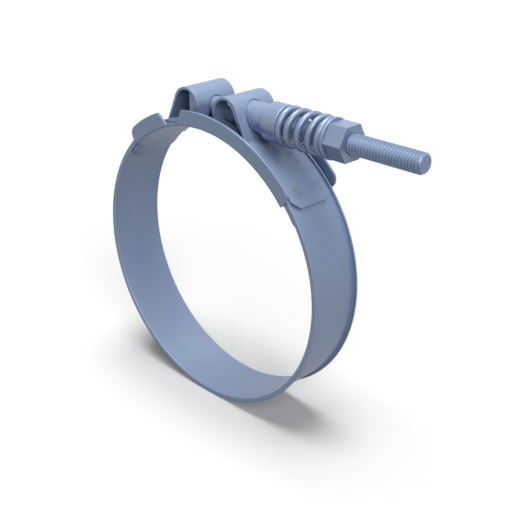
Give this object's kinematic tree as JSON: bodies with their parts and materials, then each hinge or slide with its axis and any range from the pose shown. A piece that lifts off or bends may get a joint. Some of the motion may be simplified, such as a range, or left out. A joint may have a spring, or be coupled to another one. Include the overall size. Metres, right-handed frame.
{
  "type": "spring-loaded t bolt clamp",
  "caption": "Band hose clamp drawn up by a T-bolt, with a channel bridge under the gap and a coil spring and hex nut on the bolt.",
  "frame": {"origin": "centre of the hose bore, midway across the band", "axes": "+Y along the hose, +X along the bolt towards its free end, +Z from the hose's centre towards the bolt"},
  "size_m": [0.1208, 0.0216, 0.1025],
  "materials": {
    "strip": "cold-rolled stainless strip, satin",
    "forging": "plated steel, satin",
    "turned": "turned steel, plated",
    "spring_wire": "drawn stainless wire",
    "hardware": "plated steel, bright"
  },
  "bodies": {
    "clamp": {"band": "strip", "bridge": "strip", "left_strap": "strip", "right_strap": "strip", "t_bolt": "forging", "trunnion": "turned", "spring": "spring_wire"},
    "washer": {"washer": "hardware"},
    "nut": {"nut": "hardware"}
  },
  "joints": [
    {"name": "nut_advance", "type": "slide", "parent": "clamp", "child": "washer", "axis": [1, 0, 0], "range_m": [-0.005, 0.0055], "deforming": ["spring"]},
    {"name": "nut_spin", "type": "hinge", "parent": "washer", "child": "nut", "pos_m": [0.0442, 0, 0.0493], "axis": [1, 0, 0], "range_deg": [-1800, 1980]}
  ],
  "couplings": [
    {"joint": "nut_spin", "follows": "nut_advance", "rad_per_m": 6283.2}
  ]
}
